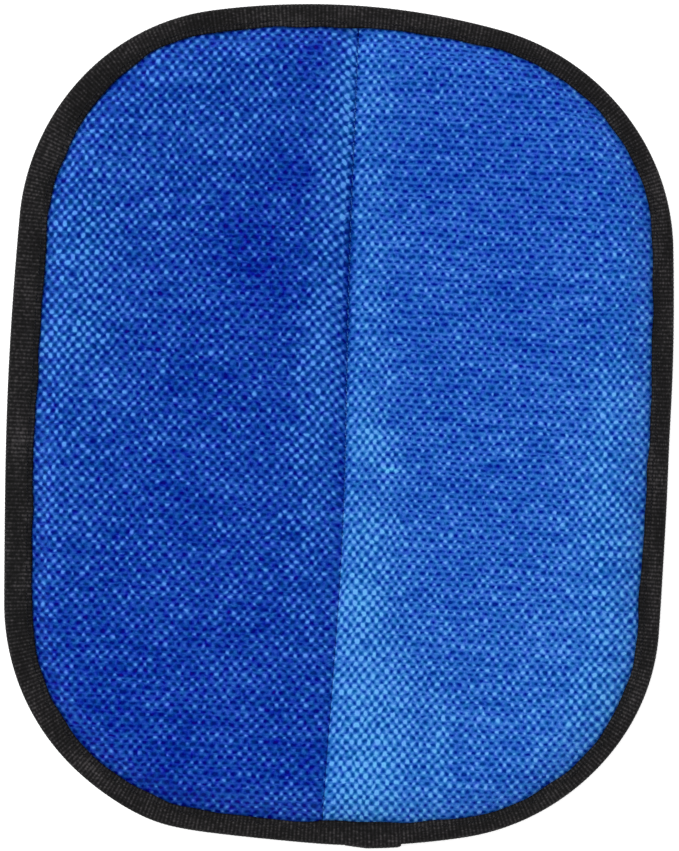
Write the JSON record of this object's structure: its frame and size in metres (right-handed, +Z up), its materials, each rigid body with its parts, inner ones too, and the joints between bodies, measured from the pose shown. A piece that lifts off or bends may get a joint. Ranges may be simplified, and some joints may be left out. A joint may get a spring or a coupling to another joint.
{
  "type": "flexible magnetic glass cleaning pad",
  "caption": "Flat rounded-rectangle fabric cleaning pad with magnets inside; its domed woven face panels fold together along a centre seam, and ribbed tape binds the rim.",
  "frame": {"origin": "bottom centre of the pad as it lies flat on its back: the middle of the centre seam, at the underside of the binding tape", "axes": "+X across the pad towards the lighter half, +Y along the centre seam (the long way), +Z up through the woven working face"},
  "size_m": [0.152, 0.1922, 0.0085],
  "materials": {
    "face_cloth_left": "deep blue coarse plain-weave cloth with a satin shine",
    "face_cloth_right": "lighter blue coarse plain-weave cloth with a satin shine",
    "binding_tape": "black ribbed grosgrain tape, matte",
    "back_cloth": "black woven cloth, matte",
    "black_thread": "black polyester sewing thread",
    "blue_thread": "dark blue polyester sewing thread",
    "foam": "grey open-cell foam, matte",
    "tray_foam": "dark grey closed-cell foam, matte",
    "film": "clear waterproof film, glossy",
    "magnet": "nickel-plated, bright"
  },
  "bodies": {
    "left_half": {"face_panel_left": "face_cloth_left", "face_foam_left": "foam", "pouch_film_front_left": "film", "magnet_tray_left": "tray_foam", "pouch_film_back_left": "film", "back_cover_left": "back_cloth", "edge_binding_left": "binding_tape", "binding_thread_front_left": "black_thread", "binding_thread_back_left": "black_thread", "magnet_left_1": "magnet", "magnet_left_2": "magnet", "magnet_left_3": "magnet", "magnet_left_4": "magnet", "magnet_left_5": "magnet", "magnet_left_6": "magnet", "centre_seam_thread": "blue_thread"},
    "right_half": {"face_panel_right": "face_cloth_right", "face_foam_right": "foam", "pouch_film_front_right": "film", "magnet_tray_right": "tray_foam", "pouch_film_back_right": "film", "back_cover_right": "back_cloth", "edge_binding_right": "binding_tape", "binding_thread_front_right": "black_thread", "binding_thread_back_right": "black_thread", "magnet_right_1": "magnet", "magnet_right_2": "magnet", "magnet_right_3": "magnet", "magnet_right_4": "magnet", "magnet_right_5": "magnet", "magnet_right_6": "magnet"}
  },
  "joints": [
    {"name": "fold", "type": "hinge", "parent": "left_half", "child": "right_half", "pos_m": [0, 0, 0.0037], "axis": [0, -1, 0], "range_deg": [0, 90]}
  ]
}
